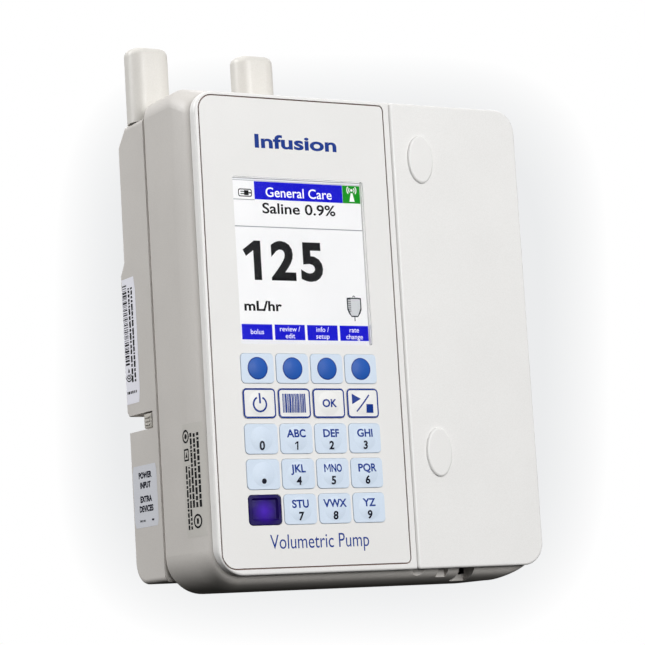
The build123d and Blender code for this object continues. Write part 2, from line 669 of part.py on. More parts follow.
with BuildPart() as module_shell:
    x_plane = at(MODULE_X[0], 0, 0)[0]
    side_points = (
        (MODULE_FRONT, MODULE_BOTTOM),
        (LOWER_Y, MODULE_BOTTOM),
        (LOWER_Y, NOTCH_Z[0]),
        (LOWER_Y, BULGE_Z[0]),
        (BULGE_Y, BULGE_Z[0] + 1.0),
        (BULGE_Y, BULGE_Z[1]),
        (UPPER_Y, STEP_Z),
        (UPPER_Y, SHOULDER_Z - 5.5),
        (UPPER_Y - 5.5, SHOULDER_Z),
        (MODULE_FRONT, SHOULDER_Z),
    )
    with BuildSketch(Plane.YZ.offset(x_plane)):
        with BuildLine():
            Polyline([at(0, y, z)[1:] for y, z in side_points], close=True)
        make_face()
        low_rear = vertices().sort_by_distance(at(0, LOWER_Y, MODULE_BOTTOM)[1:])[0]
        fillet(low_rear, 7.0)
        shoulder = vertices().sort_by_distance(at(0, UPPER_Y, SHOULDER_Z - 5.5)[1:])[0]
        fillet(shoulder, 2.5)
    extrude(amount=MODULE_X[1] - MODULE_X[0])
    side_rims = faces().filter_by(Axis.X).sort_by(Axis.X)
    rear = at(0, MODULE_FRONT + 0.5, 0)[1]
    for side_face in (side_rims[0], side_rims[-1]):
        fillet([edge for edge in side_face.edges() if edge.center().Y > rear], 1.6)
    # room for the cells and the radio board, open to the front
    room_x = (MODULE_X[0] + WALL, MODULE_X[1] - WALL)
    beside_notch_x = (MODULE_X[0] + 11.0, MODULE_X[1] - WALL)
    slab(room_x, (MODULE_FRONT, ROOM_Y), (56.0, 133.0), mode=Mode.SUBTRACT)
    slab(room_x, (MODULE_FRONT, 41.0), (133.0, 138.6), mode=Mode.SUBTRACT)
    slab(room_x, (MODULE_FRONT, ROOM_Y), (3.0, 42.0), mode=Mode.SUBTRACT)
    slab(beside_notch_x, (MODULE_FRONT, ROOM_Y), (42.0, 56.0), mode=Mode.SUBTRACT)
    # thumb notch with the latch's pocket in front of it
    notch_y = (NOTCH_Y, BULGE_Y + 1.0)
    slab((MODULE_X[0] - 1, MODULE_X[0] + NOTCH_DEPTH), notch_y, NOTCH_Z, mode=Mode.SUBTRACT)
    slab((MODULE_X[0] - 1, MODULE_X[0] + 6.5), (34.6, NOTCH_Y), NOTCH_Z, mode=Mode.SUBTRACT)
    for antenna_x in ANTENNA_X:
        peg_z = (SHOULDER_Z - 4.0, SHOULDER_Z + 1.0)
        post(antenna_x, ANTENNA_Y, peg_z, 3.1, mode=Mode.SUBTRACT)
    # hole for the power jack, low on the back
    peg(JACK_X, (LOWER_Y - 3.0, LOWER_Y + 1.0), JACK_Z, JACK_R + 0.2, mode=Mode.SUBTRACT)
save(module_shell, "module_shell")

with BuildPart() as module_cover:
    cover_x = (MODULE_X[0] + WALL + 0.1, MODULE_X[1] - WALL - 0.1)
    cover_y = (MODULE_FRONT + 0.1, MODULE_FRONT + 1.5)
    slab(cover_x, cover_y, (56.1, 138.5))
    slab(cover_x, cover_y, (3.1, 41.9))
    slab((MODULE_X[0] + 11.1, cover_x[1]), cover_y, (41.9, 56.1))
save(module_cover, "module_cover")

with BuildPart() as module_latch:
    slab((MODULE_X[0] + 0.4, MODULE_X[0] + 4.2), LATCH_Y, LATCH_Z, 0.5)
    fillet(faces().sort_by(Axis.X)[0].edges(), 0.4)
    for level in (48.2, 49.3, 50.4):
        slab((MODULE_X[0] + 0.1, MODULE_X[0] + 0.6), (37.2, 40.6), (level - 0.25, level + 0.25))
save(module_latch, "module_latch")

with BuildPart() as battery_cells:
    for cell_z in CELLS_Z:
        slab((2.6, 46.0), (34.0, 44.6), cell_z, 1.5)
save(battery_cells, "battery_cells")

with BuildPart() as radio_board:
    slab((2.0, 46.4), (35.0, 36.6), (108.0, 134.0), 1.0)
    slab((8.0, 24.0), (36.6, 39.0), (112.0, 126.0), 0.5)
    for antenna_x in ANTENNA_X:
        slab((antenna_x - 2.0, antenna_x + 2.0), (36.6, 39.6), (129.0, 133.0))
save(radio_board, "radio_board")


def make_antenna(name, x):
    """One stub aerial: a softly rounded cap over a spigot that plugs into the module."""
    centre_x, centre_y, base = at(x, ANTENNA_Y, SHOULDER_Z)
    with BuildPart() as aerial:
        with BuildSketch(Plane.XY.offset(base)):
            with Locations((centre_x, centre_y)):
                RectangleRounded(13.3, 9.6, 4.2)
        extrude(amount=ANTENNA_TOP - SHOULDER_Z)
        fillet(faces().sort_by(Axis.Z)[-1].edges(), 2.3)
        post(x, ANTENNA_Y, (SHOULDER_Z - 3.6, SHOULDER_Z), 3.0)
    save(aerial, name)


make_antenna("antenna_left", ANTENNA_X[0])
make_antenna("antenna_right", ANTENNA_X[1])

with BuildPart() as power_jack:
    jack_end = LOWER_Y - 0.4
    peg(JACK_X, (jack_end - 1.8, jack_end), JACK_Z, JACK_R)
    peg(JACK_X, (jack_end - 1.4, jack_end), JACK_Z, 3.0, mode=Mode.SUBTRACT)
    peg(JACK_X, (jack_end - 1.6, jack_end - 0.2), JACK_Z, 0.9)
save(power_jack, "power_jack")
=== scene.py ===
"""Looks of the infusion pump: the material of every CAD piece, its printing and screen, light, camera.

Lengths are in millimetres in panel coordinates, as in the CAD source: x from the left edge of the
front, y back from its face, z up from its lower edge. place() turns them into metres in the frame.
"""

import json
import math
import random

import bmesh
import bpy
from mathutils import Matrix, Vector
from mathutils.bvhtree import BVHTree

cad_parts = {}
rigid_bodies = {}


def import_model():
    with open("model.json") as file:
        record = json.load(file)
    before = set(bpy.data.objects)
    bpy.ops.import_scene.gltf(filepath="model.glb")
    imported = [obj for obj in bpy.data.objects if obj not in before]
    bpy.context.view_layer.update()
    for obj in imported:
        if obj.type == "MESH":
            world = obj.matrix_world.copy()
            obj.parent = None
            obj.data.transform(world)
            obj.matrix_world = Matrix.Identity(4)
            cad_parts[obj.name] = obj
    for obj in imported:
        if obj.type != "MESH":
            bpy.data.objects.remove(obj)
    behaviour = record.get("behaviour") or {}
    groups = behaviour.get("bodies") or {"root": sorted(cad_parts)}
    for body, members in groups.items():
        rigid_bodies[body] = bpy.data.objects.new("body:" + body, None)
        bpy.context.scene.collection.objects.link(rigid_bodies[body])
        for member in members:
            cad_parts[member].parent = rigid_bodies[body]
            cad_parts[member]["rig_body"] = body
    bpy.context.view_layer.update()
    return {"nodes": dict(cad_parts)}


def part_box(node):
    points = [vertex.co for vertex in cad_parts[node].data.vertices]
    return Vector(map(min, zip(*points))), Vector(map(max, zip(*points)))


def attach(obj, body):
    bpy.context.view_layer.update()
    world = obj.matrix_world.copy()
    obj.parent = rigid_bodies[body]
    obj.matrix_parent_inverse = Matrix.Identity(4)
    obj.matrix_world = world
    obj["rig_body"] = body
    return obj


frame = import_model()
nodes = frame["nodes"]
scene = bpy.context.scene

MM = 0.001
PANEL_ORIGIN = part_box("front_bezel")[0]


def place(x, y, z):
    """The point of the frame, in metres, that lies at these panel coordinates."""
    return PANEL_ORIGIN + Vector((x, y, z)) * MM


def middle(node):
    """The panel x and z of a CAD node's middle."""
    low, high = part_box(node)
    centre = ((low + high) / 2 - PANEL_ORIGIN) / MM
    return centre.x, centre.z


def srgb(red, green, blue):
    """A linear colour with alpha from an 8-bit screen colour."""
    linear = [(c / 12.92) if c <= 0.04045 else ((c + 0.055) / 1.055) ** 2.4
              for c in (red / 255, green / 255, blue / 255)]
    return (*linear, 1.0)


# ---- materials ----
class Shader:
    """A Principled material under construction, with short names for the nodes that it uses."""

    def __init__(self, name, sockets=None):
        self.material = bpy.data.materials.new(name)
        self.material.use_nodes = True
        self.tree = self.material.node_tree
        self.surface = self.tree.nodes["Principled BSDF"]
        for socket, value in (sockets or {}).items():
            self.surface.inputs[socket].default_value = value
        self.position = self.tree.nodes.new("ShaderNodeTexCoord").outputs["Object"]

    def node(self, kind, inputs=None, **settings):
        """A new node with its settings, its inputs set to values or linked to outputs."""
        made = self.tree.nodes.new(kind)
        for setting, value in settings.items():
            setattr(made, setting, value)
        for name, value in (inputs or {}).items():
            if isinstance(value, bpy.types.NodeSocket):
                self.tree.links.new(value, made.inputs[name])
            else:
                made.inputs[name].default_value = value
        return made

    def use(self, socket, output):
        """Drive one of the surface's sockets."""
        self.tree.links.new(output, self.surface.inputs[socket])

    def noise(self, size, detail=2.0, stretch=(1, 1, 1)):
        """Noise with features of about size millimetres, longer along a stretched axis."""
        scale = [1 / (size * MM * s) for s in stretch]
        mapped = self.node("ShaderNodeMapping", {"Vector": self.position, "Scale": scale})
        texture = self.node(
            "ShaderNodeTexNoise",
            {"Vector": mapped.outputs["Vector"], "Scale": 1.0, "Detail": detail},
        )
        return texture.outputs[0]

    def shades(self, value, low, high, span=(0.3, 0.7)):
        """A colour that goes from low to high as value crosses the span."""
        ramp = self.node("ShaderNodeValToRGB", {"Fac": value})
        ramp.color_ramp.elements[0].position, ramp.color_ramp.elements[1].position = span
        ramp.color_ramp.elements[0].color = low
        ramp.color_ramp.elements[1].color = high
        return ramp.outputs["Color"]

    def levels(self, value, low, high, span=(0.3, 0.7)):
        """A number that goes from low to high as value crosses the span."""
        spans = {"From Min": span[0], "From Max": span[1], "To Min": low, "To Max": high}
        return self.node("ShaderNodeMapRange", {"Value": value, **spans}).outputs[0]

    def multiply(self, first, second):
        """The product of two colours."""
        mixed = self.node("ShaderNodeMix", data_type="RGBA", blend_type="MULTIPLY")
        mixed.inputs[0].default_value = 1.0
        self.tree.links.new(first, mixed.inputs[6])
        self.tree.links.new(second, mixed.inputs[7])
        return mixed.outputs[2]

    def bump(self, height, depth, below=None):
        """Relief of this depth in millimetres, on top of the relief below it."""
        made = self.node("ShaderNodeBump", {"Height": height, "Distance": depth * MM})
        if below:
            self.tree.links.new(below, made.inputs["Normal"])
        return made.outputs["Normal"]


def darker(colour, share):
    """The same colour with its light cut to this share."""
    return (*[c * share for c in colour[:3]], 1.0)


def plastic(name, colour, grain, relief, gloss, shade):
    """Moulded plastic: a spark-eroded grain, faint clouding down to a shade of its colour, and
    handled patches over a span of gloss. Grain size and relief are in millimetres."""
    look = Shader(name)
    speck = look.noise(grain, 3)
    cloud = look.noise(26, 3)
    hands = look.noise(9, 4)
    tone = look.shades(cloud, darker(colour, shade), colour)
    fleck = look.shades(speck, (0.955, 0.955, 0.95, 1), (1, 1, 1, 1), (0.38, 0.6))
    look.use("Base Color", look.multiply(tone, fleck))
    look.use("Roughness", look.levels(hands, *gloss))
    soft_waves = look.bump(look.noise(7, 1), relief * 0.8)
    look.use("Normal", look.bump(speck, relief, soft_waves))
    return look.material


def metal(name, colour, gloss=(0.33, 0.39), stretch=(1, 1, 30), scratch=0.12, relief=0.004):
    """Metal with fine machining lines along the stretched axis, and smudges in its gloss."""
    look = Shader(name, {"Metallic": 1.0})
    lines = look.noise(scratch, 2, stretch)
    smudge = look.noise(6, 3)
    tone = look.shades(lines, darker(colour, 0.82), colour)
    stain = look.shades(smudge, (0.96, 0.96, 0.96, 1), (1, 1, 1, 1))
    look.use("Base Color", look.multiply(tone, stain))
    look.use("Roughness", look.levels(smudge, *gloss))
    look.use("Normal", look.bump(lines, relief))
    return look.material


TRACKS = {"Scale": 320.0, "Mortar Size": 0.035, "Row Height": 0.5}


def circuit_board(name, mask, parts, face_y, part_y):
    """Solder mask with copper tracks under it, and dark parts that stand behind its face."""
    look = Shader(name, {"Coat Weight": 0.3})
    colours = {"Color1": mask, "Color2": darker(mask, 0.85), "Mortar": darker(mask, 1.9)}
    tracks = look.node("ShaderNodeTexBrick", {"Vector": look.position, **TRACKS, **colours})
    split = look.node("ShaderNodeSeparateXYZ", {"Vector": look.position})
    high = look.levels(split.outputs["Y"], 0.0, 1.0, (face_y, part_y))
    mixed = look.node("ShaderNodeMix", {0: high}, data_type="RGBA")
    look.tree.links.new(tracks.outputs["Color"], mixed.inputs[6])
    mixed.inputs[7].default_value = parts
    look.use("Base Color", mixed.outputs[2])
    look.use("Roughness", look.levels(look.noise(3, 3), 0.3, 0.5))
    look.use("Normal", look.bump(look.noise(0.8, 2), 0.01))
    return look.material


PIXEL = 0.19
PIXEL_GAP = 0.04


def glowing(name, colour, strength):
    """Lit display colour: rows and columns of picture elements, and an even backlight's slight cloud."""
    sockets = {"Roughness": 0.35, "Emission Strength": strength, "Specular IOR Level": 0.1}
    look = Shader(name, sockets)
    split = look.node("ShaderNodeSeparateXYZ", {"Vector": look.position})
    grid = []
    for axis in ("X", "Z"):
        step = look.node(
            "ShaderNodeMath", {0: split.outputs[axis], 1: PIXEL * MM}, operation="PINGPONG"
        )
        grid.append(look.levels(step.outputs[0], 0.93, 1.0, (0.0, PIXEL_GAP * MM)))
    cells = look.node("ShaderNodeMath", {0: grid[0], 1: grid[1]}, operation="MULTIPLY")
    lines = look.shades(cells.outputs[0], (0.9, 0.9, 0.9, 1), (1, 1, 1, 1), (0.86, 1.0))
    cloud = look.shades(look.noise(30, 2), darker(colour, 0.955), colour)
    lit = look.multiply(cloud, lines)
    look.use("Emission Color", lit)
    look.use("Base Color", look.shades(look.noise(30, 2), darker(colour, 0.06), darker(colour, 0.08)))
    return look.material


def ink(name, colour, gloss=(0.45, 0.6)):
    """Screen-printed ink: nearly even, with the print's fine grain."""
    look = Shader(name, {"Specular IOR Level": 0.2})
    grain = look.noise(0.16, 3)
    look.use("Base Color", look.shades(grain, darker(colour, 0.88), colour))
    look.use("Roughness", look.levels(look.noise(2, 2), *gloss))
    look.use("Normal", look.bump(grain, 0.003))
    return look.material


def clear_pane(name):
    """The clear window: polished, with a few faint smears."""
    look = Shader(name, {"Transmission Weight": 1.0, "IOR": 1.1, "Base Color": (1, 1, 1, 1)})
    look.use("Roughness", look.levels(look.noise(14, 4), 0.0, 0.05, (0.55, 0.8)))
    return look.material


def scan_glass(name, centre):
    """Tinted lens that passes infra-red: deep violet, with painted light in the middle of its sunken
    face and painted shade towards its rim.
    """
    look = Shader(name, {"Coat Weight": 0.2, "Coat Roughness": 0.08, "Specular IOR Level": 0.3})
    offset = look.node("ShaderNodeVectorMath", {0: look.position, 1: centre}, operation="DISTANCE")
    reach = (0.4 * MM, 4.6 * MM)
    # painted light and shade: the violet is lightest at the middle of the sunken face and darkest at its
    # rim
    violet_with_painted_shade = look.shades(offset.outputs["Value"], srgb(72, 18, 190), srgb(14, 6, 62), reach)
    cloud = look.shades(look.noise(1.2, 3), (0.9, 0.9, 0.9, 1), (1, 1, 1, 1))
    look.use("Base Color", look.multiply(violet_with_painted_shade, cloud))
    look.use("Roughness", look.levels(look.noise(4, 3), 0.12, 0.24))
    return look.material


WHITE = srgb(238, 237, 235)
GREY = srgb(206, 202, 197)

scan_x, scan_z = middle("scan_window")
looks = {
    "front": plastic("front_white", WHITE, 0.22, 0.005, (0.3, 0.42), 0.975),
    "film": plastic("overlay_film", srgb(236, 235, 233), 0.14, 0.004, (0.38, 0.5), 0.975),
    "grey": plastic("housing_grey", GREY, 0.34, 0.014, (0.42, 0.56), 0.95),
    "aerial": plastic("aerial_grey", srgb(222, 219, 213), 0.3, 0.008, (0.34, 0.46), 0.96),
    "latch": plastic("latch_grey", srgb(196, 192, 184), 0.3, 0.012, (0.4, 0.55), 0.93),
    "key_blue": plastic("key_blue", srgb(214, 228, 244), 0.16, 0.003, (0.42, 0.55), 0.975),
    "key_white": plastic("key_white", srgb(240, 240, 238), 0.16, 0.003, (0.42, 0.55), 0.98),
    "dark": plastic("dark_plastic", srgb(52, 53, 56), 0.3, 0.012, (0.38, 0.55), 0.8),
    "liner": plastic("liner_grey", srgb(176, 178, 180), 0.34, 0.012, (0.42, 0.55), 0.92),
    "acetal": plastic("acetal", srgb(228, 225, 214), 0.24, 0.006, (0.28, 0.42), 0.94),
    "finger": plastic("finger_acetal", srgb(214, 218, 222), 0.24, 0.006, (0.28, 0.42), 0.93),
    "sensor": plastic("sensor_blue", srgb(46, 62, 96), 0.2, 0.006, (0.22, 0.36), 0.85),
    "silicone": plastic("silicone", srgb(196, 196, 194), 0.2, 0.01, (0.55, 0.7), 0.93),
    "cell": plastic("cell_sleeve", srgb(52, 92, 150), 0.5, 0.01, (0.25, 0.4), 0.85),
    "jack": plastic("jack_black", srgb(38, 38, 40), 0.25, 0.008, (0.3, 0.45), 0.8),
    "steel": metal("steel", (0.56, 0.56, 0.57, 1)),
    "bright_steel": metal("bright_steel", (0.72, 0.72, 0.73, 1), (0.12, 0.25), (1, 30, 1), 0.1, 0.002),
    "plate": metal("anodised_plate", (0.7, 0.7, 0.72, 1), (0.46, 0.52), (30, 1, 1), 0.1, 0.004),
    "brass": metal("brass", (0.72, 0.5, 0.2, 1), (0.2, 0.32), (1, 1, 20)),
    "pane": clear_pane("clear_window"),
    "glass": plastic("display_glass", srgb(226, 229, 232), 0.2, 0.002, (0.18, 0.3), 0.96),
    "scan": scan_glass("scan_lens", place(scan_x, 0.6, scan_z - 0.2)),
}
BOARD_GREEN = srgb(22, 92, 50)
BOARD_BLUE = srgb(24, 60, 120)
CHIP_BLACK = srgb(34, 34, 38)
# the panel depth of each board's rear face, and how far behind it the colour of parts is reached
BOARD_REAR = {"main_board": 15.62, "keypad_board": 6.82, "radio_board": 36.62}
PART_STEP = 0.08
for board, rear in BOARD_REAR.items():
    mask = BOARD_BLUE if board == "radio_board" else BOARD_GREEN
    depths = [place(0, y, 0).y for y in (rear, rear + PART_STEP)]
    looks[board] = circuit_board(board, mask, CHIP_BLACK, *depths)

WEARS = {
    "front": ["front_bezel", "door_shell"],
    "film": ["keypad_overlay"],
    "grey": ["main_housing", "module_shell", "module_cover"],
    "aerial": ["antenna_left", "antenna_right"],
    "latch": ["module_latch"],
    "key_white": ["key_power", "key_scan", "key_ok", "key_run_stop"],
    "dark": ["mechanism_chassis", "occlusion_sensors"],
    "liner": ["door_liner"],
    "acetal": ["cam_gear"],
    "sensor": ["air_sensor"],
    "silicone": ["keypad_mat"],
    "cell": ["battery_cells"],
    "jack": ["power_jack"],
    "steel": ["latch_clips", "drive_motor", "hinge_brackets", "camshaft", "platen", "platen_springs",
              "latch_studs", "hinge_pins"],
    "bright_steel": ["camshaft_bearings", "plate_screws"],
    "plate": ["mounting_plate"],
    "brass": ["motor_pinion"],
    "pane": ["display_window"],
    "glass": ["display_panel"],
    "scan": ["scan_window"],
    **{board: [board] for board in BOARD_REAR},
}
for name in nodes:
    if name.startswith("pump_finger"):
        WEARS.setdefault("finger", []).append(name)
    elif name.startswith("key_") and name not in WEARS["key_white"]:
        WEARS.setdefault("key_blue", []).append(name)
for look_name, wearers in WEARS.items():
    for wearer in wearers:
        for slot in nodes[wearer].material_slots:
            slot.material = looks[look_name]

# ---- printing ----
FAR = 80.0
SIDES = {
    # where a print's u and v lie in the frame before it is laid on, and the way it is laid
    "front": (lambda u, v: place(u, -FAR, v), Vector((0, 1, 0))),
    "left": (lambda u, v: place(-FAR, -u, v), Vector((1, 0, 0))),
    "back": (lambda u, v: place(-u, FAR, v), Vector((0, -1, 0))),
}
surfaces = {}


def surface(node):
    """The tree that finds where a ray meets a CAD node."""
    if node not in surfaces:
        mesh = nodes[node].data
        corners = [vertex.co for vertex in mesh.vertices]
        surfaces[node] = BVHTree.FromPolygons(corners, [tuple(p.vertices) for p in mesh.polygons])
    return surfaces[node]


def arc(u, v, radius, start, end, steps=12):
    """Points on an arc about u, v, from the angle start to the angle end in degrees."""
    angles = [math.radians(start + (end - start) * step / steps) for step in range(steps + 1)]
    return [(u + radius * math.cos(a), v + radius * math.sin(a)) for a in angles]


def rounded(u, v, radius, steps=6):
    """A rectangle over the spans u and v with rounded corners, as a loop of points."""
    centres = (
        (u[1] - radius, v[0] + radius, 270),
        (u[1] - radius, v[1] - radius, 0),
        (u[0] + radius, v[1] - radius, 90),
        (u[0] + radius, v[0] + radius, 180),
    )
    loop = []
    for centre_u, centre_v, start in centres:
        loop += arc(centre_u, centre_v, radius, start, start + 90, steps)
    return loop


def circle(u, v, radius, count=48):
    """Points all round a circle about u, v."""
    return arc(u, v, radius, 0, 360 - 360 / count, count - 1)


def about(centre, size):
    """The span of this size about its centre."""
    return (centre - size / 2, centre + size / 2)


def lettering(text, weight):
    """The text as a mesh in the built-in typeface, centred, with its corners' x and their y."""
    curve = bpy.data.curves.new("lettering", "FONT")
    curve.body = text
    curve.align_x = "CENTER"
    curve.offset = weight
    curve.resolution_u = 4
    holder = bpy.data.objects.new("lettering", curve)
    mesh = bpy.data.meshes.new_from_object(holder)
    bpy.data.objects.remove(holder)
    bpy.data.curves.remove(curve)
    return mesh, [vertex.co.x for vertex in mesh.vertices], [vertex.co.y for vertex in mesh.vertices]


def add_piece(name, drawing, look, onto):
    """Make a bmesh into a piece that rides with a CAD node's body."""
    mesh = bpy.data.meshes.new(name)
    drawing.to_mesh(mesh)
    drawing.free()
    mesh.materials.append(look)
    piece = bpy.data.objects.new(name, mesh)
    scene.collection.objects.link(piece)
    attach(piece, nodes[onto]["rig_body"])


class Print:
    """A thin printed piece: flat shapes drawn with u to the right and v up, laid on a CAD surface."""

    def __init__(self):
        self.mesh = bmesh.new()

    def polygon(self, points):
        """A filled outline."""
        self.mesh.faces.new([self.mesh.verts.new((u, v, 0)) for u, v in points])

    def bar(self, u, v):
        """A filled rectangle over two spans."""
        self.polygon([(u[0], v[0]), (u[1], v[0]), (u[1], v[1]), (u[0], v[1])])

    def band(self, outer, inner, closed=True):
        """The strip between two rows of points."""
        rows = [[self.mesh.verts.new((u, v, 0)) for u, v in row] for row in (outer, inner)]
        count = len(outer)
        for index in range(count if closed else count - 1):
            after = (index + 1) % count
            self.mesh.faces.new((rows[0][index], rows[0][after], rows[1][after], rows[1][index]))

    def stroke(self, points, width):
        """A line of this width through the points."""
        left, right = [], []
        for index, (u, v) in enumerate(points):
            before = Vector(points[max(index - 1, 0)])
            after = Vector(points[min(index + 1, len(points) - 1)])
            across = (after - before).normalized().orthogonal() * (width / 2)
            left.append((u + across.x, v + across.y))
            right.append((u - across.x, v - across.y))
        self.band(right, left, closed=False)

    def patch(self, loop, rings):
        """A filled outline in rings, so that it can follow a curved surface."""
        centre = sum((Vector(point) for point in loop), Vector((0, 0))) / len(loop)
        rows = [
            [tuple(centre + (Vector(point) - centre) * ring / rings) for point in loop]
            for ring in range(rings, 0, -1)
        ]
        for outer, inner in zip(rows, rows[1:]):
            self.band(outer, inner)
        self.polygon(rows[-1])

    def words(self, text, u, v, height, width=None, weight=0.0):
        """Lettering centred on u, from its baseline v, with its capitals this high."""
        capital, _, capital_up = lettering("H", weight)
        mesh, across, _ = lettering(text, weight)
        scale = height / (max(capital_up) - min(capital_up))
        stretch = width / ((max(across) - min(across)) * scale) if width else 1.0
        mesh.transform(
            Matrix.Translation((u, v, 0))
            @ Matrix.Diagonal((scale * stretch, scale, 1, 1))
            @ Matrix.Translation((0, -min(capital_up), 0))
        )
        self.mesh.from_mesh(mesh)
        for used in (capital, mesh):
            bpy.data.meshes.remove(used)

    def divide(self, step):
        """Cut the drawing along a square grid, so that it can follow a curved surface."""
        self.mesh.normal_update()
        bmesh.ops.triangulate(self.mesh, faces=self.mesh.faces[:])
        for axis in (Vector((1, 0, 0)), Vector((0, 1, 0))):
            reach = [vertex.co.dot(axis) for vertex in self.mesh.verts]
            for line in range(math.ceil(min(reach) / step), math.ceil(max(reach) / step)):
                geometry = self.mesh.verts[:] + self.mesh.edges[:] + self.mesh.faces[:]
                bmesh.ops.bisect_plane(
                    self.mesh, geom=geometry, plane_co=axis * (line * step), plane_no=axis
                )

    def one(self, right, low, height, stroke):
        """The digit 1: an upright, and a flag that falls to its left."""
        top = low + height
        left = right - stroke - 0.3 * height
        tip = top - 0.24 * height
        fall = (top - tip) / (right - 0.85 * stroke - left)
        under = tip - 0.75 * stroke
        meets = under + fall * (right - 1.42 * stroke - left)
        self.polygon([
            (right, low), (right, top), (right - 0.85 * stroke, top), (left, tip),
            (left + 0.42 * stroke, under), (right - stroke, meets), (right - stroke, low),
        ])

    def em(self, left, low, width, height, stroke):
        """The capital M, as one outline."""
        right, top, middle_u = left + width, low + height, left + width / 2
        notch = low + 0.42 * height
        shoulder = top - 1.7 * stroke
        self.polygon([
            (left, low), (left + stroke, low), (left + stroke, shoulder),
            (middle_u, notch - 1.5 * stroke), (right - stroke, shoulder), (right - stroke, low),
            (right, low), (right, top), (right - 1.15 * stroke, top), (middle_u, notch),
            (left + 1.15 * stroke, top), (left, top),
        ])

    def lay(self, name, look, onto, side="front", lift=0.02, step=None):
        """Turn the drawing into a piece that lies on a CAD node and rides with it."""
        start, inward = SIDES[side]
        if step:
            self.divide(step)
        ground = surface(onto)
        for vertex in self.mesh.verts:
            origin = start(vertex.co.x, vertex.co.y)
            found = ground.ray_cast(origin, inward)[0]
            if found is None:
                raise ValueError(f"{name} reaches past the edge of {onto} at {vertex.co[:2]}")
            vertex.co = found - inward * (lift * MM)
        for face in self.mesh.faces:
            face.smooth = True
        add_piece(name, self.mesh, look, onto)


BLUE_INK = ink("blue_ink", srgb(2, 52, 142))
NAVY_INK = ink("navy_ink", srgb(6, 10, 34))
BLACK_INK = ink("black_ink", srgb(10, 10, 14))
SOFT_BLUE_INK = ink("soft_key_blue", srgb(36, 92, 182), (0.35, 0.5))
SOFT_RIM_INK = ink("soft_key_rim", srgb(30, 66, 146), (0.35, 0.5))
# brown ink for the painted shade in the groove round the overlay
GROOVE_SHADE_INK = ink("groove_painted_shade", srgb(120, 98, 90), (0.6, 0.8))
LABEL_LILAC = ink("label_lilac", srgb(244, 244, 252), (0.3, 0.45))
LABEL_GREY = ink("label_grey", srgb(218, 220, 226), (0.3, 0.45))
LABEL_HOUSING = ink("label_housing", srgb(204, 201, 195), (0.35, 0.5))

# ---- seams ----
OVERLAY_X = (1.6, 64.5)
OVERLAY_Z = (2.1, 141.25)
OVERLAY_LEFT_R = 4.4
OVERLAY_RIGHT_R = 1.3


def overlay_loop(grow):
    """The overlay's outline, grown all round; its left corners are rounder than its right ones."""
    loop = []
    corners = (
        (OVERLAY_X[1], OVERLAY_Z[0], -1, 1, OVERLAY_RIGHT_R, 270),
        (OVERLAY_X[1], OVERLAY_Z[1], -1, -1, OVERLAY_RIGHT_R, 0),
        (OVERLAY_X[0], OVERLAY_Z[1], 1, -1, OVERLAY_LEFT_R, 90),
        (OVERLAY_X[0], OVERLAY_Z[0], 1, 1, OVERLAY_LEFT_R, 180),
    )
    for edge_x, edge_z, inward_x, inward_z, radius, start in corners:
        centre = (edge_x + inward_x * radius, edge_z + inward_z * radius)
        loop += arc(*centre, radius + grow, start, start + 90, 8)
    return loop


# a brown band on the floor of the groove between the overlay and the bezel: painted shade in the groove
seam = Print()
seam.band(overlay_loop(0.4), overlay_loop(0.03))
seam.lay("overlay_groove_painted_shade", GROOVE_SHADE_INK, "front_bezel")

# grey lip that closes the joint between the housing and the module
LIP_X = (-1.45, 49.85)
LIP_Z = (0.55, 140.85)
LIP_Y = (31.34, 31.58)
LIP_R = 2.0
LIP_WIDTH = 1.0
lip = bmesh.new()
rings = []
for y, inset in ((LIP_Y[0], 0.0), (LIP_Y[1], 0.0), (LIP_Y[1], LIP_WIDTH), (LIP_Y[0], LIP_WIDTH)):
    spans = [(low + inset, high - inset) for low, high in (LIP_X, LIP_Z)]
    loop = rounded(*spans, LIP_R - inset)
    rings.append([lip.verts.new(place(x, y, z)) for x, z in loop])
for ring, after in zip(rings, rings[1:] + rings[:1]):
    for index in range(len(ring)):
        other = (index + 1) % len(ring)
        lip.faces.new((ring[index], ring[other], after[other], after[index]))
bmesh.ops.recalc_face_normals(lip, faces=lip.faces[:])
add_piece("module_lip", lip, looks["grey"], "module_shell")

# ---- key legends ----
LETTERS = {
    "1": "ABC", "2": "DEF", "3": "GHI", "4": "JKL", "5": "MNO", "6": "PQR", "7": "STU", "8": "VWX",
    "9": "YZ",
}
LETTER_H = 2.4
DIGIT_H = 2.5
ZERO_H = 2.7
LETTER_UP = 0.35
DIGIT_DOWN = -3.3
# pieces on the domed keys are cut this fine
KEY_STEP = 0.7

for digit, letters in LETTERS.items():
    x, z = middle(f"key_{digit}")
    legend = Print()
    if letters.startswith("M"):
        legend.em(x - 3.0, z + LETTER_UP, 2.1, LETTER_H, 0.38)
        legend.words(letters[1:], x + 1.15, z + LETTER_UP, LETTER_H, 3.7, weight=0.03)
    else:
        legend.words(letters, x, z + LETTER_UP, LETTER_H, weight=0.03)
    legend.lay(f"letters_{digit}", BLUE_INK, f"key_{digit}", step=KEY_STEP)
for digit in "0123456789":
    x, z = middle(f"key_{digit}")
    legend = Print()
    if digit == "1":
        legend.one(x + 0.35, z + DIGIT_DOWN, DIGIT_H, 0.45)
    else:
        legend.words(digit, x, z + DIGIT_DOWN, ZERO_H if digit == "0" else DIGIT_H, weight=0.035)
    legend.lay(f"digit_{digit}", NAVY_INK, f"key_{digit}", step=KEY_STEP)

x, z = middle("key_point")
legend = Print()
legend.patch(circle(x, z - 2.0, 0.8, 24), 2)
legend.lay("digit_point", NAVY_INK, "key_point")

DISC_R = 3.0
RIM_R = (3.34, 2.99)
for number in range(1, 5):
    key = f"key_soft_{number}"
    x, z = middle(key)
    disc = Print()
    disc.patch(circle(x, z, DISC_R), 8)
    disc.lay(f"soft_disc_{number}", SOFT_BLUE_INK, key)
    rim = Print()
    rim.band(*[circle(x, z, radius) for radius in RIM_R])
    rim.lay(f"soft_rim_{number}", SOFT_RIM_INK, key)

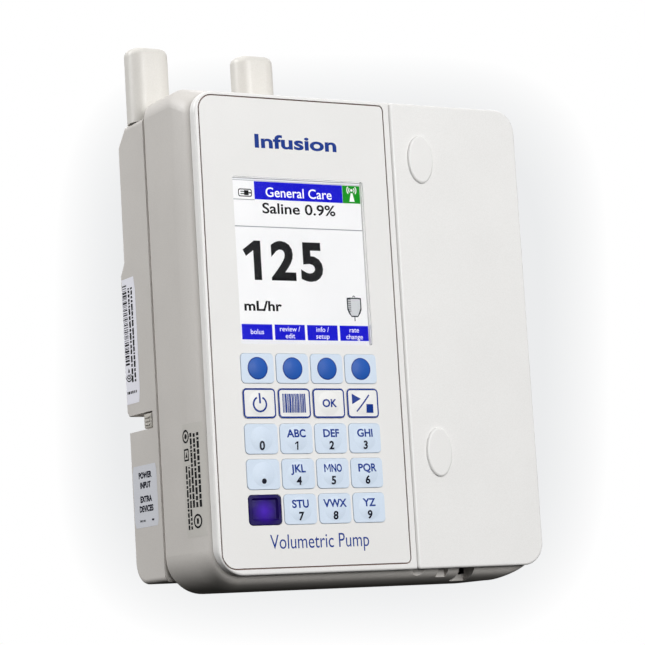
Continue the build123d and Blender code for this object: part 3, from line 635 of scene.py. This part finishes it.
OUTLINE_W, OUTLINE_H, OUTLINE_R = 10.84, 8.8, 1.27
# the outline's inner edges: a white key curves down at its rim, so the band is cut fine there
OUTLINE_INSETS = (0.0, 0.1, 0.18, 0.5)


def key_outline(key):
    """The blue outline printed round a white key, with room for its sign."""
    x, z = middle(key)
    sign = Print()
    loops = [
        rounded(about(x, OUTLINE_W - 2 * inset), about(z, OUTLINE_H - 2 * inset), OUTLINE_R - inset)
        for inset in OUTLINE_INSETS
    ]
    for outer, inner in zip(loops, loops[1:]):
        sign.band(outer, inner)
    return sign, x, z


sign, x, z = key_outline("key_power")
ring = [arc(x, z - 0.3, radius, 115, 425, 30) for radius in (2.4, 1.85)]
sign.band(*ring, closed=False)
sign.bar(about(x, 0.6), (z - 0.1, z + 3.0))
sign.lay("sign_power", BLUE_INK, "key_power", step=KEY_STEP)

sign, x, z = key_outline("key_scan")
bars = random.Random(4)
edge, last = x - 4.0, x + 4.0
while edge < last - 0.3:
    width = bars.choice((0.18, 0.28, 0.42, 0.58))
    sign.bar((edge, min(edge + width, last)), about(z, 5.6))
    edge += width + bars.choice((0.1, 0.14, 0.2))
sign.lay("sign_scan", BLUE_INK, "key_scan", step=KEY_STEP)

sign, x, z = key_outline("key_ok")
sign.words("OK", x, z - LETTER_H / 2, LETTER_H, weight=0.03)
sign.lay("sign_ok", BLUE_INK, "key_ok", step=KEY_STEP)

sign, x, z = key_outline("key_run_stop")
sign.polygon([(x - 3.7, z - 0.3), (x - 0.8, z + 1.3), (x - 3.7, z + 2.9)])
sign.stroke([(x - 2.3, z - 2.5), (x + 2.2, z + 2.5)], 0.45)
sign.bar((x + 1.0, x + 3.5), (z - 2.9, z - 0.3))
sign.lay("sign_run_stop", BLUE_INK, "key_run_stop", step=KEY_STEP)

# ---- words on the front ----
word = Print()
word.words("Infusion", 33.5, 126.2, 4.2, 28.0, weight=0.03)
word.lay("word_top", BLUE_INK, "keypad_overlay")
word = Print()
word.words("Volumetric Pump", 34.0, 7.4, 4.1, 33.3)
word.lay("word_bottom", BLUE_INK, "keypad_overlay")

# ---- what the display shows ----
SCREEN_X = (11.9, 55.55)
SCREEN_Z = (68.7, 116.4)
HEADER_X = (19.15, 49.35)
HEADER_Z = (110.85, 116.3)
RADIO_X = (49.4, 55.5)
SOFT_LABELS_X = ((12.4, 22.6), (23.4, 33.6), (34.4, 44.8), (45.6, 55.5))
SOFT_LABELS_Z = (68.85, 73.45)
LAYER = 0.03
lit = {
    "margin": glowing("margin_painted_glow", srgb(233, 234, 238), 0.95),
    "paper": glowing("lit_white", srgb(249, 249, 250), 0.91),
    "blue": glowing("lit_blue", srgb(6, 6, 204), 0.95),
    "green": glowing("lit_green", srgb(10, 146, 24), 0.95),
    "white": glowing("lit_lettering", srgb(252, 252, 255), 0.97),
    "black": glowing("unlit_black", srgb(24, 24, 27), 0.6),
    "grey": glowing("lit_grey", srgb(150, 152, 156), 0.9),
    "pale": glowing("lit_pale_grey", srgb(208, 210, 213), 0.95),
    "dark": glowing("lit_dark_grey", srgb(56, 58, 64), 0.9),
}


def show(name, drawing, colour, layer):
    """Lay a drawing on the display, over the layers below it."""
    drawing.lay(f"screen_{name}", lit[colour], "display_panel", lift=LAYER * layer)


# the margin round the picture glows: painted light that lifts the shade of the recess it sits in
margin = Print()
margin.bar((11.76, 55.62), (67.68, 117.02))
show("margin", margin, "margin", 1)
paper = Print()
paper.bar(SCREEN_X, SCREEN_Z)
show("paper", paper, "paper", 2)

header = Print()
header.bar(HEADER_X, HEADER_Z)
for span in SOFT_LABELS_X:
    header.bar(span, SOFT_LABELS_Z)
show("header", header, "blue", 3)

radio = Print()
radio.bar(RADIO_X, HEADER_Z)
show("radio_box", radio, "green", 3)

radio = Print()
mast_x, mast_z = 52.6, 114.9
foot, top = mast_z - 3.5, mast_z - 0.9
radio.polygon([(mast_x - 0.9, foot), (mast_x + 0.9, foot), (mast_x + 0.3, top), (mast_x - 0.3, top)])
radio.patch(circle(mast_x, mast_z, 0.42, 12), 1)
for radius in (0.95, 1.6):
    for direction in (0, 180):
        wave = (direction - 42, direction + 42)
        edges = [arc(mast_x, mast_z, radius + half, *wave) for half in (0.13, -0.13)]
        radio.band(*edges, closed=False)
show("radio_sign", radio, "white", 4)

words = Print()
words.words("General Care", 34.2, 111.75, 2.85, 22.6, weight=0.008)
labels = (("bolus",), ("review /", "edit"), ("info /", "setup"), ("rate", "change"))
for span, lines in zip(SOFT_LABELS_X, labels):
    for row, line in enumerate(lines):
        baseline = 70.5 if len(lines) == 1 else 71.45 - 2.05 * row
        words.words(line, sum(span) / 2, baseline, 1.45)
show("white_words", words, "white", 4)

rules = Print()
rules.bar(SCREEN_X, (102.45, 102.75))
rules.bar((SCREEN_X[0], HEADER_X[0]), (110.55, 110.8))
rules.bar(SCREEN_X, (SCREEN_Z[1], SCREEN_Z[1] + 0.15))
show("rules", rules, "grey", 3)

words = Print()
words.words("Saline 0.9%", 34.0, 106.7, 3.2, 25.0, weight=0.018)
RATE_BASELINE, RATE_H = 86.6, 11.8
words.one(20.15, RATE_BASELINE, RATE_H, 2.5)
words.words("2", 27.6, RATE_BASELINE, RATE_H, 8.4, weight=0.035)
words.words("5", 37.4, RATE_BASELINE, RATE_H, 7.6, weight=0.035)
words.words("mL/hr", 19.8, 77.4, 3.0, 12.6, weight=0.03)
show("black_words", words, "black", 3)

plug = Print()
plug.band(rounded((13.7, 18.3), (111.5, 113.9), 0.6, 3), rounded((14.0, 18.0), (111.8, 113.6), 0.4, 3))
plug.bar((15.7, 17.2), (111.95, 113.45))
plug.bar((14.5, 15.7), (112.2, 112.5))
plug.bar((14.5, 15.7), (112.9, 113.2))
plug.bar((17.2, 18.0), (112.5, 112.9))
show("plug", plug, "black", 3)


def bag_loop(grow):
    """The outline of the bag on the display, grown all round."""
    left, right, low, high = 48.6 - grow, 53.6 + grow, 77.4 - grow, 81.9 + grow
    return [
        (left, high), (left, low + 1.0), (left + 0.5, low - 0.2), (50.0, 76.1 - grow),
        (52.2, 76.1 - grow), (right - 0.5, low - 0.2), (right, low + 1.0), (right, high),
        (52.4, high + 0.1), (49.8, high + 0.1),
    ]


bag = Print()
bag.polygon(bag_loop(-0.15))
show("bag", bag, "pale", 3)
bag = Print()
bag.band(bag_loop(0.0), bag_loop(-0.4))
bag.bar((50.95, 51.25), (74.85, 76.1))
bag.band(*[arc(51.1, 82.1, radius, 0, 180) for radius in (0.5, 0.25)], closed=False)
TICKS = 7
for tick in range(TICKS):
    bag.bar((48.8, 50.0), about(77.9 + 0.6 * tick, 0.26))
show("bag_lines", bag, "dark", 4)

# ---- labels on the left side and the back ----
LABEL_R = 0.8
LABEL_ROWS = 10
# on a curved edge, wide columns would cut through the marks on them
LABEL_COLUMNS = 24
LABEL_LIFT = 0.03
MARKS_LIFT = 0.05


def label(name, look, onto, across, z, side="left"):
    """A blank label between two z on a side, and between two y there or, on the back, two x."""
    sheet = Print()
    start, end = -across[1], -across[0]
    rows = []
    for row in range(LABEL_ROWS + 1):
        v = z[0] + (z[1] - z[0]) * row / LABEL_ROWS
        short = 1 - min(1, min(v - z[0], z[1] - v) / LABEL_R)
        inset = LABEL_R * (1 - math.sqrt(1 - short ** 2))
        width = end - start - 2 * inset
        shares = [column / LABEL_COLUMNS for column in range(LABEL_COLUMNS + 1)]
        rows.append([(start + inset + width * share, v) for share in shares])
    for below, above in zip(rows, rows[1:]):
        for corners in zip(below, below[1:], above[1:], above):
            sheet.polygon(corners)
    sheet.lay(name, look, onto, side, LABEL_LIFT)


def greeking(drawing, u, v, along, height, seed, upright=False):
    """A line of dashes where small print would be, from u, v; upright lines climb."""
    dashes = random.Random(seed)
    done = 0.0
    while done < along:
        length = min(dashes.uniform(0.5, 2.2), along - done)
        if upright:
            drawing.bar((u, u + height), (v + done, v + done + length))
        else:
            drawing.bar((u + done, u + done + length), (v, v + height))
        done += length + dashes.uniform(0.25, 0.5)


# serial label: a bar code beside an upright line of print
label("serial_label", LABEL_LILAC, "module_shell", (42.3, 52.5), (55.5, 94.1))
marks = Print()
code = random.Random(11)
level = 67.5
CODE_TOP = 92.2
while level < CODE_TOP - 0.2:
    thick = code.choice((0.16, 0.26, 0.4, 0.6))
    marks.bar((-51.2, -48.3), (level, min(level + thick, CODE_TOP)))
    level += thick + code.choice((0.2, 0.3, 0.46))
for column, u in enumerate((-47.4, -45.5)):
    greeking(marks, u, 62.0, 29.0, 1.1, 20 + column, upright=True)
for radius in (0.9, 1.7, 2.5):
    marks.band(*[arc(-49.2, 65.0, radius + half, 200, 340) for half in (0.2, -0.2)], closed=False)
marks.polygon([(-49.9, 65.2), (-48.5, 65.2), (-49.2, 66.6)])
greeking(marks, -51.0, 58.6, 6.6, 0.8, 31)
marks.lay("serial_marks", BLACK_INK, "module_shell", "left", MARKS_LIFT)

# connection label
label("connection_label", LABEL_GREY, "module_shell", (33.8, 50.2), (17.5, 36.2))
marks = Print()
for text, level in (("POWER", 32.2), ("INPUT", 29.2), ("EXTRA", 25.0), ("DEVICES", 22.1)):
    marks.words(text, -41.8, level, 1.95, weight=0.05)
greeking(marks, -46.5, 19.2, 3.6, 0.55, 41)
greeking(marks, -38.4, 19.2, 1.6, 0.55, 42)
marks.lay("connection_marks", NAVY_INK, "module_shell", "left", MARKS_LIFT)

# approval label on the housing's curved edge
label("approval_label", LABEL_HOUSING, "main_housing", (3.2, 14.9), (12.1, 45.2))
marks = Print()
SIGN_U = -12.4
marks.band(*[circle(SIGN_U, 41.6, radius) for radius in (2.0, 1.4)])
marks.polygon(circle(SIGN_U, 41.6, 0.8, 12))
marks.band(
    rounded(about(SIGN_U, 3.0), about(36.2, 3.6), 0.3, 2),
    rounded(about(SIGN_U, 2.0), about(36.2, 2.6), 0.2, 2),
)
marks.polygon([(SIGN_U - 0.7, 35.4), (SIGN_U + 0.7, 35.4), (SIGN_U, 37.2)])
for column in range(5):
    start, end = (14.4, 33.0) if column < 2 else (20.6, 42.4)
    greeking(marks, -13.4 + 1.7 * column, start, end - start, 1.05, 50 + column, upright=True)
marks.band(*[circle(-7.9, 16.6, radius) for radius in (2.1, 1.5)])
marks.bar((-8.4, -7.4), (15.8, 17.4))
marks.lay("approval_marks", BLACK_INK, "main_housing", "left", MARKS_LIFT)

# labels on the back
label("rating_label", LABEL_GREY, "main_housing", (61.0, 99.0), (10.0, 27.0), "back")
marks = Print()
for row in range(5):
    greeking(marks, -97.0, 23.4 - 2.4 * row, 18.0 if row < 3 else 12.0, 0.8, 70 + row)
marks.band(rounded((-76.5, -63.5), (12.5, 24.5), 0.8, 3), rounded((-76.1, -63.9), (12.9, 24.1), 0.5, 3))
marks.polygon([(-71.5, 14.5), (-66.5, 14.5), (-69.0, 18.8)])
greeking(marks, -75.0, 21.4, 10.0, 0.7, 81)
marks.lay("rating_marks", NAVY_INK, "main_housing", "back", MARKS_LIFT)

label("battery_label", LABEL_GREY, "module_shell", (7.0, 41.0), (60.0, 84.0), "back")
marks = Print()
marks.band(rounded((-38.5, -27.0), (75.0, 81.0), 0.8, 3), rounded((-37.9, -27.6), (75.6, 80.4), 0.4, 3))
marks.bar((-27.0, -26.0), (76.8, 79.2))
marks.bar((-37.2, -31.5), (76.3, 79.7))
greeking(marks, -23.5, 79.2, 14.0, 0.9, 90)
greeking(marks, -23.5, 76.2, 11.0, 0.9, 91)
for row in range(4):
    greeking(marks, -38.5, 71.6 - 2.8 * row, 28.0 if row < 3 else 17.0, 0.8, 92 + row)
marks.lay("battery_marks", NAVY_INK, "module_shell", "back", MARKS_LIFT)

# ---- stage ----
FLOOR_DROP = 0.5 * MM
FLOOR_REACH = 6.0
floor_mesh = bpy.data.meshes.new("floor")
corners = [(x * FLOOR_REACH, y * FLOOR_REACH, 0) for x, y in ((-1, -1), (1, -1), (1, 1), (-1, 1))]
floor_mesh.from_pydata(corners, [], [(0, 1, 2, 3)])
floor = bpy.data.objects.new("floor", floor_mesh)
floor.location.z = -FLOOR_DROP
scene.collection.objects.link(floor)
floor.visible_diffuse = False
floor.visible_glossy = False

# the camera stands lower than the floor, which is clear from beneath and fades out round the pump
FADE = (0.3, 1.1)
floor_look = Shader("floor_pale", {"Base Color": srgb(238, 239, 241), "Roughness": 0.7})
geometry = floor_look.node("ShaderNodeNewGeometry")
distance = floor_look.node("ShaderNodeVectorMath", {0: geometry.outputs["Position"]}, operation="LENGTH")
fade = floor_look.node(
    "ShaderNodeMapRange",
    {"Value": distance.outputs["Value"], "From Min": FADE[0], "From Max": FADE[1]},
    interpolation_type="SMOOTHSTEP",
)
seen = floor_look.node("ShaderNodeLightPath").outputs["Is Camera Ray"]
far = floor_look.node("ShaderNodeMath", {0: fade.outputs["Result"], 1: seen}, operation="MULTIPLY")
hidden = floor_look.node(
    "ShaderNodeMath", {0: geometry.outputs["Backfacing"], 1: far.outputs[0]}, operation="MAXIMUM"
)
clear = floor_look.node("ShaderNodeBsdfTransparent")
either = floor_look.node("ShaderNodeMixShader", {0: hidden.outputs[0]})
links = floor_look.tree.links
links.new(floor_look.surface.outputs[0], either.inputs[1])
links.new(clear.outputs[0], either.inputs[2])
links.new(either.outputs[0], floor_look.tree.nodes["Material Output"].inputs["Surface"])
floor_mesh.materials.append(floor_look.material)

# the camera: where it looks, and how it stands off from there
AIM = place(39.1, 0.0, 74.1)
DISTANCE = 0.7528
AZIMUTH = math.radians(-30.12)
ELEVATION = math.radians(-7.73)
ROLL = math.radians(-3.43)
FOCAL_LENGTH = 141.25
SENSOR_WIDTH = 36.0
away = Vector((
    math.sin(AZIMUTH) * math.cos(ELEVATION),
    -math.cos(AZIMUTH) * math.cos(ELEVATION),
    math.sin(ELEVATION),
))
lens = bpy.data.cameras.new("camera")
lens.lens = FOCAL_LENGTH
lens.sensor_width = SENSOR_WIDTH
camera = bpy.data.objects.new("camera", lens)
turn = (-away).to_track_quat("-Z", "Y").to_matrix().to_4x4()
camera.matrix_world = Matrix.Translation(AIM + away * DISTANCE) @ turn @ Matrix.Rotation(ROLL, 4, "Z")
scene.collection.objects.link(camera)
scene.camera = camera
scene.view_settings.view_transform = "Standard"


PUMP_MIDDLE = Vector((0.0, 0.0, 0.08))


def softbox(name, location, size, power):
    """A square area light of this size and power in watts, which faces the pump."""
    lamp = bpy.data.lights.new(name, "AREA")
    lamp.size = size
    lamp.energy = power
    box = bpy.data.objects.new(name, lamp)
    facing = (PUMP_MIDDLE - Vector(location)).to_track_quat("-Z", "Y")
    box.matrix_world = Matrix.Translation(location) @ facing.to_matrix().to_4x4()
    scene.collection.objects.link(box)


softbox("key_softbox", (0.1, -1.45, 0.38), 1.0, 21.3)
softbox("fill_softbox", (-1.35, 0.7, 1.05), 1.0, 26)
softbox("top_softbox", (0.1, 0.3, 1.5), 1.0, 3)
softbox("back_softbox", (0.9, 1.5, 0.8), 1.2, 9)

world = bpy.data.worlds.new("studio")
scene.world = world
world.use_nodes = True
tree = world.node_tree
tree.nodes["Background"].inputs["Strength"].default_value = 1.0
direction = tree.nodes.new("ShaderNodeTexCoord").outputs["Generated"]


def world_node(kind, *inputs, **settings):
    """A node of the world with its first inputs set to values or linked to outputs."""
    made = tree.nodes.new(kind)
    for setting, value in settings.items():
        setattr(made, setting, value)
    for index, value in enumerate(inputs):
        if isinstance(value, bpy.types.NodeSocket):
            tree.links.new(value, made.inputs[index])
        else:
            made.inputs[index].default_value = value
    return made


def world_ramp(value, *stops):
    """A colour that runs between two stops, each a position and a colour, as the value rises."""
    ramp = world_node("ShaderNodeValToRGB", value)
    for element, (position, colour) in zip(ramp.color_ramp.elements, stops):
        element.position = position
        element.color = colour
    return ramp.outputs["Color"]


# what the camera sees: white, with a faint painted shadow behind the pump in the shape of a squarish
# ellipse;
# its centre and reach, to the right and up, are angles off the line of sight
HALO_CENTRE = (0.0036, -0.0109)
HALO_REACH = (0.102, 0.109)
HALO_POWER = 4.0
powers = []
for axis, centre, reach in zip((Vector((1, 0, 0)), Vector((0, 1, 0))), HALO_CENTRE, HALO_REACH):
    across = (camera.matrix_world.to_3x3() @ axis) / reach
    share = world_node("ShaderNodeVectorMath", direction, across, operation="DOT_PRODUCT")
    shift = world_node("ShaderNodeMath", share.outputs["Value"], centre / reach, operation="SUBTRACT")
    power = world_node("ShaderNodeMath", shift.outputs[0], HALO_POWER, operation="POWER")
    powers.append(power.outputs[0])
ellipse = world_node("ShaderNodeMath", *powers, operation="ADD")
facing = world_node("ShaderNodeVectorMath", direction, away, operation="DOT_PRODUCT")
behind = world_node("ShaderNodeMath", facing.outputs["Value"], 0.0, operation="GREATER_THAN")
half = world_node("ShaderNodeMath", ellipse.outputs[0], 0.5, behind.outputs[0], operation="MULTIPLY_ADD")
backdrop_painted_shadow = world_ramp(half.outputs[0], (0.22, srgb(235, 236, 237)), (0.65, (1, 1, 1, 1)))

# what lights the pump: dim from below, brighter from above
height = world_node("ShaderNodeSeparateXYZ", direction).outputs["Z"]
sky = world_ramp(height, (0.0, (0.022, 0.022, 0.021, 1)), (0.35, (0.46, 0.46, 0.465, 1)))

chosen = world_node("ShaderNodeMix", data_type="RGBA")
seen = world_node("ShaderNodeLightPath").outputs["Is Camera Ray"]
for source, target in (
    (seen, chosen.inputs[0]),
    (sky, chosen.inputs[6]),
    (backdrop_painted_shadow, chosen.inputs[7]),
    (chosen.outputs[2], tree.nodes["Background"].inputs["Color"]),
):
    tree.links.new(source, target)
